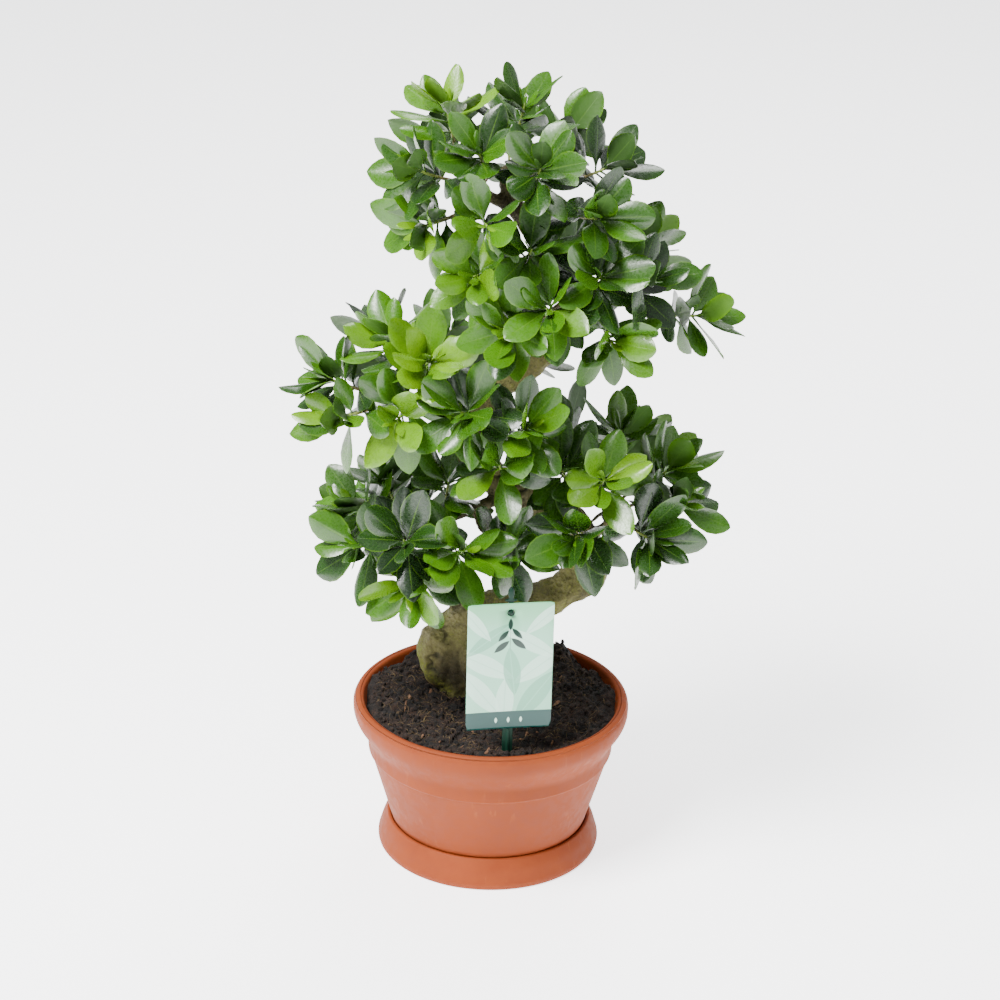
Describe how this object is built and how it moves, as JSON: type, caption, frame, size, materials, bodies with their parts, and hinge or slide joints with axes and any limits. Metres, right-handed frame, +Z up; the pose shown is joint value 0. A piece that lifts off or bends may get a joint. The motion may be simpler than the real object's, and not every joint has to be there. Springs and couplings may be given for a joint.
{
  "type": "potted bonsai tree",
  "caption": "Small indoor fig trained as a bonsai: S-shaped trunk on swollen roots, pads of glossy leafy shoots, round bowl pot with soil, saucer and an unlettered care label on a stake.",
  "frame": {"origin": "centre of the saucer's flat underside", "axes": "+Z up from the saucer through the pot to the crown, -Y the label's side, +X to the right seen from the label's side"},
  "size_m": [0.3477, 0.2441, 0.6368],
  "materials": {
    "terracotta_plastic": "matte terracotta-coloured moulded plastic",
    "peat_soil": "damp crumbly peat with fibres and bark chips",
    "trunk_bark": "grey-brown bark with olive moss bloom and fissures",
    "fig_leaf": "waxy glossy evergreen leaf",
    "label_print": "printed plastic card with a pale leaf pattern and a teal band, no lettering",
    "stake_plastic": "dark green moulded plastic"
  },
  "bodies": {
    "root": {"label_card": "label_print", "label_stake": "stake_plastic", "pot": "terracotta_plastic", "saucer": "terracotta_plastic", "shoot_crown_left_1": "fig_leaf", "shoot_crown_left_2": "fig_leaf", "shoot_crown_left_3": "fig_leaf", "shoot_crown_left_4": "fig_leaf", "shoot_crown_left_5": "fig_leaf", "shoot_crown_left_6": "fig_leaf", "shoot_crown_right_1": "fig_leaf", "shoot_crown_right_2": "fig_leaf", "shoot_crown_right_3": "fig_leaf", "shoot_crown_right_4": "fig_leaf", "shoot_crown_right_5": "fig_leaf", "shoot_crown_right_6": "fig_leaf", "shoot_lower_left_1": "fig_leaf", "shoot_lower_left_10": "fig_leaf", "shoot_lower_left_2": "fig_leaf", "shoot_lower_left_3": "fig_leaf", "shoot_lower_left_4": "fig_leaf", "shoot_lower_left_5": "fig_leaf", "shoot_lower_left_6": "fig_leaf", "shoot_lower_left_7": "fig_leaf", "shoot_lower_left_8": "fig_leaf", "shoot_lower_left_9": "fig_leaf", "shoot_lower_right_1": "fig_leaf", "shoot_lower_right_2": "fig_leaf", "shoot_lower_right_3": "fig_leaf", "shoot_lower_right_4": "fig_leaf", "shoot_lower_right_5": "fig_leaf", "shoot_lower_right_6": "fig_leaf", "shoot_lower_right_7": "fig_leaf", "shoot_lower_right_8": "fig_leaf", "shoot_lower_right_9": "fig_leaf", "shoot_middle_back_1": "fig_leaf", "shoot_middle_back_2": "fig_leaf", "shoot_middle_front_1": "fig_leaf", "shoot_middle_front_2": "fig_leaf", "shoot_middle_front_3": "fig_leaf", "shoot_middle_left_1": "fig_leaf", "shoot_middle_left_2": "fig_leaf", "shoot_middle_left_3": "fig_leaf", "shoot_middle_left_4": "fig_leaf", "shoot_middle_left_5": "fig_leaf", "shoot_middle_left_6": "fig_leaf", "shoot_middle_left_7": "fig_leaf", "shoot_upper_front_1": "fig_leaf", "shoot_upper_front_2": "fig_leaf", "shoot_upper_front_3": "fig_leaf", "shoot_upper_left_1": "fig_leaf", "shoot_upper_left_2": "fig_leaf", "shoot_upper_right_1": "fig_leaf", "shoot_upper_right_2": "fig_leaf", "shoot_upper_right_3": "fig_leaf", "shoot_upper_right_4": "fig_leaf", "shoot_upper_right_5": "fig_leaf", "shoot_upper_right_6": "fig_leaf", "soil": "peat_soil", "trunk": "trunk_bark"}
  },
  "joints": []
}
